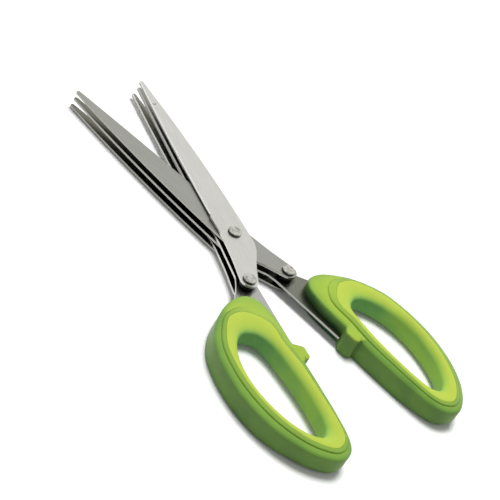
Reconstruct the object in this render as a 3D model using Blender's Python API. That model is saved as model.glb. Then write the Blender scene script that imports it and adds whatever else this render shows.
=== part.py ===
# Herb scissors: two arms of three thin blades each, riveted crosswise, with a two-tone ring
# handle moulded round the middle blade of each arm.
#
# The frame: +Z up, the pivot axis is the Z axis and z = 0 is the table. The blades point
# to +Y, the handles to -Y. Each arm is drawn shut, in its own plane, where the Y axis is the
# line along which the two arms meet. The left arm has its handle on the -X side and the
# right arm is its mirror image, one blade lower in the stack. An empty on the pivot axis
# carries each arm and turns it open by half of the opening.

import math

import bmesh
import bpy

MM = 0.001

# Opening of the arms
opening = math.radians(22.5)

# Blades: thickness and places in the stack
blade_thickness = 1.0 * MM
sliding_gap = 0.2 * MM
seat_gap = 0.25 * MM
pair_gap = 1.2 * MM
blades_per_arm = 3
lower_head_height = 0.4 * MM

# Blades: outline
blade_reach = 90.0 * MM
tip_radius = 1.0 * MM
tip_offset = 0.6 * MM
edge_root = 6.5 * MM
spine_root = 6.4 * MM
edge_curve = 1.5
spine_curve = 1.8
grind_start = 9.5 * MM
grind_step = 0.5 * MM
grind_step_rise = 0.5 * MM
bevel_width = 0.45 * MM
neck_start = 2.0 * MM
neck_half_width = 6.6 * MM
shoulder_start = 6.0 * MM
shoulder_end = 9.9 * MM
shoulder_half_width = 5.2 * MM
tail_radius = 3.7 * MM
edge_segments = 9
tip_segments = 4
tail_segments = 8

# Rivets and spacers
pivot_shank_radius = 2.0 * MM
pivot_head_radius = 2.75 * MM
tail_shank_radius = 1.5 * MM
tail_head_radius = 2.7 * MM
head_height = 0.8 * MM
head_round = 0.3 * MM
spacer_wall = 1.3 * MM
tail_rivet_offset = 6.3 * MM
tail_rivet_reach = 24.7 * MM
round_segments = 24

# Tang: the middle blade goes on into the handle
tang_reach = 57.6 * MM
tang_breadth = 16.0 * MM
lock_hole_radius = 2.2 * MM
lock_hole_across_share = 0.7
lock_hole_back_share = 0.67

# Ring handle
handle_height = 11.0 * MM
handle_front = 31.9 * MM
handle_length = 77.0 * MM
handle_inset = 2.85 * MM
handle_width = 35.4 * MM
edge_round_width = 1.5 * MM
edge_round_height = 1.6 * MM
foot_round = 0.8 * MM
crest_rise = 0.9 * MM
crest_run = 1.45 * MM
front_crest_run = 2.1 * MM
hole_round_height = 3.2 * MM
hole_round_share = 0.85
groove_inset = 1.75 * MM
groove_width = 0.3 * MM
front_land = 4.7 * MM
core_cover = 2.3 * MM
grip_skin = 1.5 * MM
seam_gap = 0.1 * MM
ring_steps = 3

# Stop nub on the inner side of each handle
nub_front = 59.4 * MM
nub_length = 4.2 * MM
nub_ramp = 3.6 * MM
nub_heel = 1.2 * MM
nub_root = 4.4 * MM
nub_round = 0.7 * MM
nub_lift = 0.4 * MM
nub_round_steps = 3
stop_gap = 0.3 * MM

# One overrun for every cut
overrun = 1.0 * MM

# Stations round the ring, from the front by the outer side to the back and the inner side.
# Each has its place on the outer wall and on the finger hole's wall: across the handle from
# its inner side, as a share of handle_width, and back from its front, as a share of
# handle_length. The last number is the extra inset of the groove, as a share of front_land,
# and the extra run of its rise to the crest, as a share of front_crest_run.
ring_station_shares = (
    (0.277, 0.000, 0.439, 0.232, 1.00),
    (0.454, 0.020, 0.516, 0.225, 0.58),
    (0.672, 0.090, 0.604, 0.244, 0.10),
    (0.845, 0.181, 0.686, 0.289, 0.10),
    (0.961, 0.290, 0.751, 0.357, 0.10),
    (1.000, 0.424, 0.789, 0.450, 0.10),
    (0.988, 0.550, 0.783, 0.544, 0.10),
    (0.927, 0.676, 0.733, 0.641, 0.10),
    (0.814, 0.797, 0.641, 0.741, 0.10),
    (0.649, 0.901, 0.524, 0.814, 0.10),
    (0.460, 0.970, 0.401, 0.853, 0.10),
    (0.265, 1.000, 0.308, 0.859, 0.10),
    (0.107, 0.967, 0.243, 0.832, 0.10),
    (0.030, 0.898, 0.211, 0.793, 0.05),
    (0.003, 0.769, 0.194, 0.716, 0.00),
    (0.000, 0.603, 0.196, 0.599, 0.00),
    (0.006, 0.458, 0.226, 0.469, 0.06),
    (0.027, 0.312, 0.270, 0.345, 0.25),
    (0.042, 0.166, 0.322, 0.277, 0.44),
    (0.088, 0.073, 0.378, 0.246, 0.84),
    (0.162, 0.021, 0.411, 0.236, 1.07),
)

# Outline of the tang, down its outer side and back up its inner side: off the middle line,
# as a share of tang_breadth, and back from the pivot, as a share of tang_reach
tang_outer_shares = (
    (0.538, 0.347),
    (0.625, 0.403),
    (0.769, 0.474),
    (0.925, 0.535),
    (1.000, 0.608),
    (0.975, 0.668),
    (0.825, 0.755),
    (0.613, 0.877),
    (0.525, 1.000),
)
tang_inner_shares = (
    (0.082, 1.000),
    (0.082, 0.427),
    (0.040, 0.352),
)

# Points of the nub's ramp: in from the stop face, as a share of nub_root, and forward from
# that face, as a share of nub_ramp
nub_ramp_shares = (
    (0.00, 0.00),
    (0.23, 0.28),
    (0.59, 0.62),
    (1.00, 0.81),
)

# Steps of the rounds of the ring's section
edge_round_steps = 3
crest_steps = 3
hole_round_steps = 4

# The right arm is the left one mirrored in X
mirror = {"left": 1.0, "right": -1.0}


def clear_scene():
    for item in list(bpy.data.objects):
        bpy.data.objects.remove(item)


def make_material(name, colour, metallic, roughness):
    """A Principled material in one colour."""
    material = bpy.data.materials.new(name)
    material.use_nodes = True
    shader = material.node_tree.nodes["Principled BSDF"]
    shader.inputs["Base Color"].default_value = (*colour, 1.0)
    shader.inputs["Metallic"].default_value = metallic
    shader.inputs["Roughness"].default_value = roughness
    return material


def make_empty(name, turn):
    """The carrier of one arm: it stands on the pivot axis and turns about it."""
    empty = bpy.data.objects.new(name, None)
    bpy.context.scene.collection.objects.link(empty)
    empty.rotation_euler[2] = turn
    return empty


def add_object(name, shape, parent, material):
    """Put a bmesh into the scene as one named object, with its normals facing out."""
    bmesh.ops.recalc_face_normals(shape, faces=shape.faces)
    mesh = bpy.data.meshes.new(name)
    shape.to_mesh(mesh)
    shape.free()
    mesh.shade_smooth()
    mesh.set_sharp_from_angle(angle=math.radians(30))
    mesh.materials.append(material)
    item = bpy.data.objects.new(name, mesh)
    bpy.context.scene.collection.objects.link(item)
    item.parent = parent
    return item


def make_cutter(item):
    item.hide_render = True
    item.display_type = "WIRE"
    return item


def add_boolean(item, other, operation):
    modifier = item.modifiers.new(other.name, "BOOLEAN")
    modifier.operation = operation
    modifier.solver = "EXACT"
    modifier.object = other


def prism(lower, upper, bottom, top):
    """A closed solid between two outlines with as many points, one above the other."""
    shape = bmesh.new()
    low = [shape.verts.new((x, y, bottom)) for x, y in lower]
    high = [shape.verts.new((x, y, top)) for x, y in upper]
    shape.faces.new(low[::-1])
    shape.faces.new(high)
    for i in range(len(low)):
        j = (i + 1) % len(low)
        shape.faces.new((low[i], low[j], high[j], high[i]))
    return shape


def turned(profile, centre):
    """A solid turned about a vertical axis from an open (radius, height) profile, whose
    two ends lie on the axis."""
    shape = bmesh.new()
    rings = []
    for radius, height in profile[1:-1]:
        ring = []
        for i in range(round_segments):
            angle = math.tau * i / round_segments
            x = centre[0] + radius * math.cos(angle)
            y = centre[1] + radius * math.sin(angle)
            ring.append(shape.verts.new((x, y, height)))
        rings.append(ring)
    first = shape.verts.new((centre[0], centre[1], profile[0][1]))
    last = shape.verts.new((centre[0], centre[1], profile[-1][1]))
    for i in range(round_segments):
        j = (i + 1) % round_segments
        shape.faces.new((first, rings[0][j], rings[0][i]))
        shape.faces.new((last, rings[-1][i], rings[-1][j]))
        for below, above in zip(rings, rings[1:]):
            shape.faces.new((below[i], below[j], above[j], above[i]))
    return shape


def cylinder(radius, bottom, top, centre):
    return turned([(0.0, bottom), (radius, bottom), (radius, top), (0.0, top)], centre)


def washer(inner, outer, bottom, top, centre):
    """A flat ring round a vertical axis."""
    shape = bmesh.new()
    corners = ((inner, bottom), (outer, bottom), (outer, top), (inner, top))
    rings = []
    for radius, height in corners:
        ring = []
        for i in range(round_segments):
            angle = math.tau * i / round_segments
            x = centre[0] + radius * math.cos(angle)
            y = centre[1] + radius * math.sin(angle)
            ring.append(shape.verts.new((x, y, height)))
        rings.append(ring)
    for here, there in zip(rings, rings[1:] + rings[:1]):
        for i in range(round_segments):
            j = (i + 1) % round_segments
            shape.faces.new((here[i], here[j], there[j], there[i]))
    return shape


def placed(points, side):
    """Points of the left arm, mirrored in X for the right one and still anticlockwise."""
    if side == "left":
        return list(points)
    return [(-x, y) for x, y in reversed(points)]


def offset_outline(points, distance):
    """An anticlockwise outline with every side moved out by the same distance."""
    moved = []
    count = len(points)
    for i in range(count):
        before, here, after = points[i - 1], points[i], points[(i + 1) % count]
        first = unit(here[0] - before[0], here[1] - before[1])
        second = unit(after[0] - here[0], after[1] - here[1])
        normal = unit(first[1] + second[1], -first[0] - second[0])
        stretch = distance / (normal[0] * first[1] - normal[1] * first[0])
        moved.append((here[0] + normal[0] * stretch, here[1] + normal[1] * stretch))
    return moved


def unit(x, y):
    length = math.hypot(x, y)
    return x / length, y / length


def edge_at(y):
    """X of the cutting edge: it leaves edge_root at the pivot and bends in to the tip."""
    tip = tip_radius + tip_offset
    return -edge_root + (edge_root - tip) * (y / blade_reach) ** edge_curve


def spine_at(y):
    """X of the spine, which bends in to the tip from the other side."""
    tip = tip_radius - tip_offset
    return spine_root - (spine_root - tip) * (y / blade_reach) ** spine_curve


def blade_outline(bevel):
    """The left arm's outline from its tip down the cutting edge to the neck, with the
    ground edge moved in by the bevel. Returns the edge side, and then the spine side,
    which runs up from the shoulder to the tip."""
    shoulder_y = blade_reach - tip_radius
    tip_x = (edge_at(shoulder_y) + spine_at(shoulder_y)) / 2
    tip_width = (spine_at(shoulder_y) - edge_at(shoulder_y)) / 2
    tip = []
    for i in range(1, tip_segments):
        angle = math.pi * i / tip_segments
        tip.append((tip_x + tip_width * math.cos(angle), shoulder_y + tip_radius * math.sin(angle)))
    edge = []
    for i in range(edge_segments + 1):
        y = shoulder_y + (grind_start - shoulder_y) * i / edge_segments
        edge.append((edge_at(y) + bevel, y))
    step_y = grind_start - grind_step_rise
    edge.append((edge_at(step_y) - grind_step, step_y))
    edge.append((-neck_half_width, neck_start))
    edge.append((-neck_half_width, -neck_start))
    spine = [(spine_root, -shoulder_start)]
    for i in range(edge_segments + 1):
        y = shoulder_y * i / edge_segments
        spine.append((spine_at(y), y))
    return edge, spine + tip


def tail_end():
    """The round end of an outer blade about its tail rivet, between the two tangents."""
    centre = (-tail_rivet_offset, -tail_rivet_reach)
    start = tangent_angle((-neck_half_width, -neck_start), centre, -1.0)
    stop = tangent_angle((shoulder_half_width, -shoulder_end), centre, 1.0)
    points = []
    for i in range(tail_segments + 1):
        angle = start + (stop - start) * i / tail_segments
        x = centre[0] + tail_radius * math.cos(angle)
        points.append((x, centre[1] + tail_radius * math.sin(angle)))
    return points


def tangent_angle(point, centre, side):
    """The angle on the tail's circle at which a line from the point touches it."""
    dx, dy = point[0] - centre[0], point[1] - centre[1]
    angle = math.atan2(dy, dx) - side * math.acos(tail_radius / math.hypot(dx, dy))
    return angle + math.tau if side > 0 else angle


def tang_points(shares):
    return [(-across * tang_breadth, -back * tang_reach) for across, back in shares]


def lock_centre(side):
    """Where the handle's post goes through the tang."""
    across = lock_hole_across_share * tang_breadth
    return -mirror[side] * across, -lock_hole_back_share * tang_reach


def outer_blade_outline(bevel):
    edge, spine = blade_outline(bevel)
    return edge + tail_end() + [(shoulder_half_width, -shoulder_end)] + spine


def middle_blade_outline(bevel):
    edge, spine = blade_outline(bevel)
    tang = tang_points(tang_outer_shares) + tang_points(tang_inner_shares)
    return edge + tang + [(shoulder_half_width, -shoulder_end)] + spine


def blade_bottom(side, number):
    """Height of a blade's lower face; blade 0 is the lowest of its arm, and each blade of
    the left arm lies on one of the right arm."""
    step = blade_thickness + sliding_gap
    lift = step if side == "left" else 0.0
    return lower_head_height + sliding_gap + lift + number * (step + blade_thickness + pair_gap)


def make_blade(name, side, number, outline, parent, material, cutters):
    """One blade. The left arm's edges are ground on top and cut with their lower face;
    the right arm's are ground below, so that each pair meets face to face."""
    plain = placed(outline(0.0), side)
    ground = placed(outline(bevel_width), side)
    bottom = blade_bottom(side, number)
    lower, upper = (plain, ground) if side == "left" else (ground, plain)
    shape = prism(lower, upper, bottom, bottom + blade_thickness)
    item = add_object(name, shape, parent, material)
    for cutter in cutters:
        add_boolean(item, cutter, "DIFFERENCE")
    return item


def make_rivet(name, shank, head, centre, bottom, top, foot, parent, material):
    """A rivet with flat heads: its lower head is as thick as foot, its upper one as
    head_height, and the upper rim is rounded."""
    rim = top - head_round
    mid = head_round * (1 - math.sqrt(0.5))
    profile = [
        (0.0, bottom),
        (head, bottom),
        (head, bottom + foot),
        (shank, bottom + foot),
        (shank, top - head_height),
        (head, top - head_height),
        (head, rim),
        (head - mid, top - mid),
        (head - head_round, top),
        (0.0, top),
    ]
    return add_object(name, turned(profile, centre), parent, material)


def make_spacer(name, shank, centre, bottom, top, parent, material):
    inner = shank + seat_gap
    shape = washer(inner, inner + spacer_wall, bottom + sliding_gap, top - sliding_gap, centre)
    return add_object(name, shape, parent, material)


def spline(before, start, stop, after, t):
    """A point between start and stop on a Catmull-Rom curve through all four values."""
    bend = 2 * before - 5 * start + 4 * stop - after
    twist = 3 * (start - stop) + after - before
    return start + t / 2 * (stop - before + t * (bend + t * twist))


def ring_stations():
    """Outer wall point, hole wall point and share of the front's land, all round the ring."""
    table = []
    for across, back, hole_across, hole_back, land in ring_station_shares:
        outer = (-handle_inset - across * handle_width, -handle_front - back * handle_length)
        hole = (-handle_inset - hole_across * handle_width, -handle_front - hole_back * handle_length)
        table.append((*outer, *hole, land))
    stations = []
    count = len(table)
    for i in range(count):
        rows = [table[(i + k) % count] for k in (-1, 0, 1, 2)]
        for step in range(ring_steps):
            t = step / ring_steps
            stations.append([spline(*values, t) for values in zip(*rows)])
    return stations


def round_over(start, width, top, height, steps):
    """A quarter of an ellipse from a wall at start, up and inward to a flat at top."""
    points = []
    for i in range(steps + 1):
        angle = math.pi / 2 * i / steps
        points.append((start + width * (1 - math.cos(angle)), top - height * (1 - math.sin(angle))))
    return points


def section(upper, lower):
    """A closed section from its upper and lower halves, each from outside in, with heights
    up and down from the middle."""
    middle = handle_height / 2
    above = [(depth, middle + height) for depth, height in upper]
    below = [(depth, middle - height) for depth, height in reversed(lower)]
    return above + below


def groove_lines(land):
    """The groove's lip, the foot of the rise beyond it and the crest's line, in from the
    outer wall."""
    lip = groove_inset + land * front_land - groove_width / 2
    rise = lip + groove_width
    return lip, rise, rise + crest_run + land * front_crest_run


def shell_profile(width, land):
    """The hard shell. Above: the outer wall, the land, the groove, the rise to the crest and
    the core inside the grip. Below: a flat foot with a small round."""
    lip, rise, crest_line = groove_lines(land)
    crest = handle_height / 2
    core = crest - core_cover
    level = crest - crest_rise
    inner = [(crest_line, core), (width - grip_skin, core)]
    upper = round_over(0.0, edge_round_width, level, edge_round_height, edge_round_steps)
    upper += [(lip, level), (lip, core), (rise, core)]
    upper += round_over(rise, crest_line - rise, crest, crest_rise, crest_steps)
    lower = round_over(0.0, foot_round, crest, foot_round, edge_round_steps)
    return section(upper + inner, lower + [(crest_line, crest)] + inner)


def grip_profile(width, land):
    """The soft grip: a channel over the core, a flat top level with the shell's crest, and
    a round that goes down into the finger hole. It is the same below."""
    start = groove_lines(land)[2] + seam_gap
    hole_round = hole_round_share * (width - start)
    crest = handle_height / 2
    floor = crest - core_cover + seat_gap
    upper = [(width - grip_skin + seat_gap, floor), (start, floor), (start, crest)]
    inner = round_over(0.0, hole_round, crest, hole_round_height, hole_round_steps)
    for depth, height in reversed(inner):
        upper.append((width - depth, height))
    return section(upper, upper)


def ring(profile, side):
    """A closed ring: the profile at each station, joined to the next one."""
    shape = bmesh.new()
    loops = []
    for x, y, hole_x, hole_y, land in ring_stations():
        width = math.hypot(hole_x - x, hole_y - y)
        across = unit(hole_x - x, hole_y - y)
        loop = []
        for depth, height in profile(width, land):
            place_x = x + across[0] * depth
            loop.append(shape.verts.new((mirror[side] * place_x, y + across[1] * depth, height)))
        loops.append(loop)
    for here, there in zip(loops, loops[1:] + loops[:1]):
        for i in range(len(here)):
            j = (i + 1) % len(here)
            shape.faces.new((here[i], here[j], there[j], there[i]))
    return shape


def nub_outline():
    """The stop nub seen from above: a ramp, the stop face and a short heel."""
    face = -stop_gap / 2
    back = -nub_front - nub_length
    outline = [(-nub_root, back - nub_heel), (face - nub_heel, back - nub_heel), (face, back)]
    for depth, ahead in nub_ramp_shares:
        outline.append((face - depth * nub_root, -nub_front + ahead * nub_ramp))
    return outline


def make_nub(side, parent, material):
    """The solid of a nub, up to the shell's land, with its rims rounded."""
    outline = placed(nub_outline(), side)
    shape = prism(outline, outline, nub_lift, handle_height - crest_rise)
    rims = [edge for edge in shape.edges if edge.verts[0].co.z == edge.verts[1].co.z]
    bmesh.ops.bevel(
        shape, geom=rims, offset=nub_round, segments=nub_round_steps, profile=0.5, affect="EDGES"
    )
    return make_cutter(add_object(side + "_nub", shape, parent, material))


def make_handle(side, parent, shell_material, grip_material):
    """The shell with its stop nub and the slot for the tang, and the grip in it."""
    grip = add_object(side + "_grip_ring", ring(grip_profile, side), parent, grip_material)
    shell = add_object(side + "_handle_shell", ring(shell_profile, side), parent, shell_material)
    add_boolean(shell, make_nub(side, parent, shell_material), "UNION")
    tang = tang_points(tang_outer_shares) + tang_points(tang_inner_shares)
    slot_outline = placed(offset_outline(tang, seat_gap), side)
    bottom = blade_bottom(side, 1) - seat_gap
    top = bottom + blade_thickness + 2 * seat_gap
    slot = add_object(side + "_slot", prism(slot_outline, slot_outline, bottom, top), parent, shell_material)
    add_boolean(shell, make_cutter(slot), "DIFFERENCE")
    centre = lock_centre(side)
    post_shape = cylinder(lock_hole_radius - seat_gap, bottom - seat_gap, top + seat_gap, centre)
    post = add_object(side + "_post", post_shape, parent, shell_material)
    add_boolean(shell, make_cutter(post), "UNION")
    return shell, grip


def make_cylinder_cutter(name, radius, centre, parent, material):
    shape = cylinder(radius, -overrun, handle_height + overrun, centre)
    return make_cutter(add_object(name, shape, parent, material))


def make_arm(side, parent, steel, rivet_steel, shell_material, grip_material):
    """Three blades, their tail rivet and spacers, and the handle of one arm."""
    tail_centre = (-mirror[side] * tail_rivet_offset, -tail_rivet_reach)
    pivot_bore = make_cylinder_cutter(
        side + "_pivot_bore", pivot_shank_radius + seat_gap, (0.0, 0.0), parent, steel
    )
    tail_bore = make_cylinder_cutter(
        side + "_tail_bore", tail_shank_radius + seat_gap, tail_centre, parent, steel
    )
    lock_bore = make_cylinder_cutter(
        side + "_lock_bore", lock_hole_radius, lock_centre(side), parent, steel
    )
    names = ("lower", "middle", "upper")
    for number in range(blades_per_arm):
        outline, cutters = outer_blade_outline, [pivot_bore, tail_bore]
        if number == 1:
            outline, cutters = middle_blade_outline, [pivot_bore, tail_bore, lock_bore]
        name = side + "_blade_" + names[number]
        make_blade(name, side, number, outline, parent, steel, cutters)
    lowest = blade_bottom(side, 0) - sliding_gap
    highest = blade_bottom(side, blades_per_arm - 1) + blade_thickness + sliding_gap
    make_rivet(
        side + "_tail_rivet", tail_shank_radius, tail_head_radius, tail_centre,
        lowest - lower_head_height, highest + head_height, lower_head_height, parent, rivet_steel,
    )
    for number, place in enumerate(("lower", "upper")):
        make_spacer(
            side + "_tail_spacer_" + place, tail_shank_radius, tail_centre,
            blade_bottom(side, number) + blade_thickness, blade_bottom(side, number + 1),
            parent, rivet_steel,
        )
    make_handle(side, parent, shell_material, grip_material)


def make_pivot(parent, rivet_steel):
    """The rivet through all six blades, and the washers between one pair and the next."""
    centre = (0.0, 0.0)
    highest = blade_bottom("left", blades_per_arm - 1) + blade_thickness + sliding_gap
    make_rivet(
        "pivot_rivet", pivot_shank_radius, pivot_head_radius, centre,
        0.0, highest + head_height, lower_head_height, parent, rivet_steel,
    )
    for number, place in enumerate(("lower", "upper")):
        make_spacer(
            "pivot_spacer_" + place, pivot_shank_radius, centre,
            blade_bottom("left", number) + blade_thickness, blade_bottom("right", number + 1),
            parent, rivet_steel,
        )


def build():
    clear_scene()
    steel = make_material("blade_steel", (0.60, 0.60, 0.57), 1.0, 0.35)
    rivet_steel = make_material("rivet_steel", (0.52, 0.51, 0.46), 1.0, 0.3)
    green = make_material("green_shell", (0.28, 0.50, 0.07), 0.0, 0.45)
    lime = make_material("lime_grip", (0.52, 0.70, 0.09), 0.0, 0.55)
    left = make_empty("left_arm_frame", -opening / 2)
    right = make_empty("right_arm_frame", opening / 2)
    make_arm("left", left, steel, rivet_steel, green, lime)
    make_arm("right", right, steel, rivet_steel, green, lime)
    make_pivot(left, rivet_steel)


build()
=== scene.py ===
import math

import bpy
import numpy as np
from mathutils import Matrix, Vector
from mathutils.geometry import delaunay_2d_cdt


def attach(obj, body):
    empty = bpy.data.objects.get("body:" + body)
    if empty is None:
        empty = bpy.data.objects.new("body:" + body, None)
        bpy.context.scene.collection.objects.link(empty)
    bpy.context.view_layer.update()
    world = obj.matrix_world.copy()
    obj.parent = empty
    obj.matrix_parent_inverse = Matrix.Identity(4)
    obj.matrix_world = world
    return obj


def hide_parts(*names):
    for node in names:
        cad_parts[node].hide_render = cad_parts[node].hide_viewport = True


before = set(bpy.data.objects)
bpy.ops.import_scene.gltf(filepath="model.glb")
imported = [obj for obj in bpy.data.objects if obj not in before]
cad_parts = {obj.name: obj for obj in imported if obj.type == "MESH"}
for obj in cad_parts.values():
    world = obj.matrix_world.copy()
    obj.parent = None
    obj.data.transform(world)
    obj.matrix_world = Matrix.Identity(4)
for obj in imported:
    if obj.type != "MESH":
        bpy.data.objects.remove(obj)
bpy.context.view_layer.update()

mm = 0.001


def smooth(x):
    """A smooth step from 0 to 1 while x goes from 0 to 1."""
    x = np.clip(x, 0, 1)
    return x * x * (3 - 2 * x)


# ---------------------------------------------------------------------------------------
# The six blades
# Thin stainless plates, punched from sheet, ground along one edge and brushed lengthwise.
# Three belong to each arm; the middle one carries the tang that is moulded into the handle.
# ---------------------------------------------------------------------------------------
half_open = math.radians(11.25)
arms = {"left": (1.0, -half_open), "right": (-1.0, half_open)}  # x mirrored by, turn from shut
plate_thickness = 1.0 * mm
plate_lift = {"right": 0.6 * mm, "left": 1.8 * mm}
plate_pitch = 3.4 * mm
blade_reach = 90.0 * mm
tip_radius = 0.8 * mm
tip_offset = 0.8 * mm
edge_root = 6.5 * mm
edge_bend = edge_root - tip_radius - tip_offset
edge_power = 1.5
spine_root = 6.4 * mm
spine_bend = spine_root - tip_radius + tip_offset
spine_power = 1.87
spine_foot = -6.0 * mm
side_points = 150
grind_start = 9.5 * mm
grind_step = 0.5 * mm
grind_fade = 2.0 * mm
neck, neck_half_length = 6.6 * mm, 2.0 * mm
shoulder_x, shoulder_y = 5.2 * mm, -9.9 * mm
tail_x, tail_y, tail_radius = -6.3 * mm, -24.7 * mm, 3.7 * mm
neck_dip = 0.3 * mm
shoulder_dip = -0.4 * mm
corner_round = 0.3 * mm
outline_step = 0.25 * mm
facet = 0.5 * mm
tang_line = (
    (-8.6, -20.0), (-10.0, -23.2), (-12.3, -27.3), (-14.8, -30.8), (-16.0, -35.0), (-15.6, -38.5),
    (-13.2, -43.5), (-9.8, -50.5), (-8.4, -57.6), (-1.3, -57.6), (-1.3, -24.6), (-0.64, -20.3),
)
edge_soft = 0.07 * mm
pivot_hole = 2.25 * mm
tail_hole = 1.75 * mm
satin, painted_dark, bevel, punched = range(4)


def blade_sides(lean):
    """Both long sides of a left blade, from the tip down to the pivot. Each side leaves the
    root at its full width and bends in to the tip: x = root - bend (y / reach)^power.
    A thin blade is a little out of true: its tip leans sideways and stands back a fifth of
    the lean."""
    y = np.linspace(blade_reach - tip_radius, 0.0, side_points)
    share = y / blade_reach
    edge = -edge_root + edge_bend * share ** edge_power
    spine = spine_root - spine_bend * share ** spine_power
    return y - abs(lean) / 5 * share, edge + lean * share, spine + lean * share


def tangent(point, side):
    """The angle on the tail's circle at which a line from the point touches it."""
    dx, dy = point[0] - tail_x, point[1] - tail_y
    return math.atan2(dy, dx) - side * math.acos(tail_radius / math.hypot(dx, dy))


def waisted(a, b, dip):
    """Points from a to b on a line that is drawn in sideways by dip at its middle."""
    t = np.linspace(0, 1, 24)[:, None]
    return np.array(a) * (1 - t) + np.array(b) * t + np.array((dip, 0)) * np.sin(math.pi * t) ** 2


def plate_outline(tang, lean):
    """The outline of a left blade, anticlockwise from its tip, and beside it the share of
    the ground facet at each point: 1 along the cutting edge, 0 elsewhere."""
    y, edge, spine = blade_sides(lean)
    a = np.linspace(0, math.pi, 17)[1:-1]
    middle, half = (edge[0] + spine[0]) / 2, (spine[0] - edge[0]) / 2
    tip = np.c_[middle + half * np.cos(a), y[0] + tip_radius * np.sin(a)]
    cut = np.c_[edge, y][y > grind_start]
    neck_line = np.array([
        cut[-1] - grind_step, (-neck, neck_half_length), (-neck, -neck_half_length),
    ])
    shoulder = (shoulder_x, shoulder_y)
    if tang:
        lower = np.r_[np.array(tang_line) * mm, [shoulder]]
    else:
        a = np.linspace(tangent(neck_line[-1], -1), tangent(shoulder, 1) + math.tau, 40)
        end = np.c_[tail_x + tail_radius * np.cos(a), tail_y + tail_radius * np.sin(a)]
        lower = np.r_[waisted(neck_line[-1], end[0], neck_dip), end[1:],
                      waisted(end[-1], shoulder, shoulder_dip)[1:]]
    spine_line = np.r_[[(spine_root, spine_foot)], np.c_[spine, y][::-1]]
    points = np.r_[tip, cut, neck_line, lower, spine_line]
    rest = np.zeros(len(points) - len(tip) - len(cut))
    ground = np.r_[np.linspace(-0.5, 1, len(tip)).clip(0),
                   smooth((cut[:, 1] - grind_start) / grind_fade), rest]
    return softened(points, ground, corner_round, outline_step)


def softened(points, value, width, step):
    """The closed line resampled every step and smoothed along itself by a bell curve of
    the given width, which rounds its corners as a punch does. A value rides along."""
    ring = np.r_[points, points[:1]]
    run = np.r_[0, np.cumsum(np.hypot(*np.diff(ring, axis=0).T))]
    count = int(run[-1] / step)
    s = np.arange(count) / count * run[-1]
    columns = [np.interp(s, run, c) for c in (*ring.T, np.r_[value, value[:1]])]
    wave = np.fft.fftfreq(count, run[-1] / count)
    bell = np.exp(-2 * (math.pi * width * wave) ** 2)
    x, y, held = [np.real(np.fft.ifft(np.fft.fft(c) * bell)) for c in columns]
    return np.c_[x, y], np.clip(held, 0, 1)


def circle(x, y, radius):
    """A hole's rim, anticlockwise, in 48 steps."""
    a = np.arange(48) / 48 * math.tau
    return np.c_[x + radius * np.cos(a), y + radius * np.sin(a)]


def cap_faces(loops):
    """Faces that fill the first loop and leave the others open, in the loops' own order."""
    sizes = np.array([len(loop) for loop in loops])
    first = np.repeat(np.cumsum(sizes) - sizes, sizes)
    i = np.arange(sizes.sum())
    edges = np.c_[i, first + (i - first + 1) % np.repeat(sizes, sizes)].tolist()
    points = [Vector(p) for p in (np.concatenate(loops) / mm).tolist()]
    found = delaunay_2d_cdt(points, edges, [], 5, 1e-6)
    came_from = np.array([came[0] for came in found[3]])
    return came_from[np.array(found[2])]


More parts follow.
